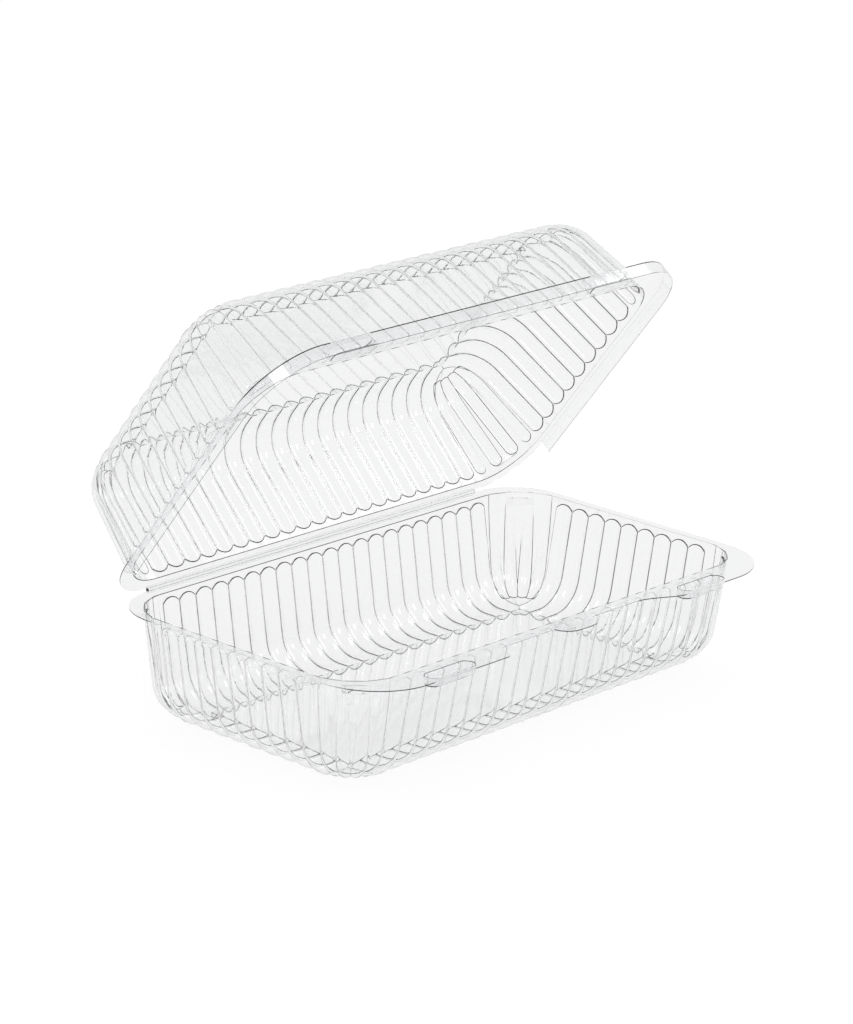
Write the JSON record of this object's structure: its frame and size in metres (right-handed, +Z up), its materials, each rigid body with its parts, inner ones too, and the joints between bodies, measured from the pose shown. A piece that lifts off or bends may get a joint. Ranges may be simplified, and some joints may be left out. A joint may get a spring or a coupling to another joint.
{
  "type": "clamshell food container",
  "caption": "Clear fluted clamshell food container with a deep base, a domed lid standing open and a living hinge at the back.",
  "frame": {"origin": "on the table under the middle of the base", "axes": "+X along the hinge to the right, front towards -Y, +Z up"},
  "size_m": [0.2278, 0.1616, 0.1609],
  "materials": {
    "clear_sheet": "clear, glossy"
  },
  "bodies": {
    "base": {"base_tray": "clear_sheet"},
    "lid": {"lid": "clear_sheet"}
  },
  "joints": [
    {"name": "lid_hinge", "type": "hinge", "parent": "base", "child": "lid", "pos_m": [0, 0.06523, 0.04335], "axis": [-1, 0, 0], "range_deg": [-53, 117]}
  ]
}
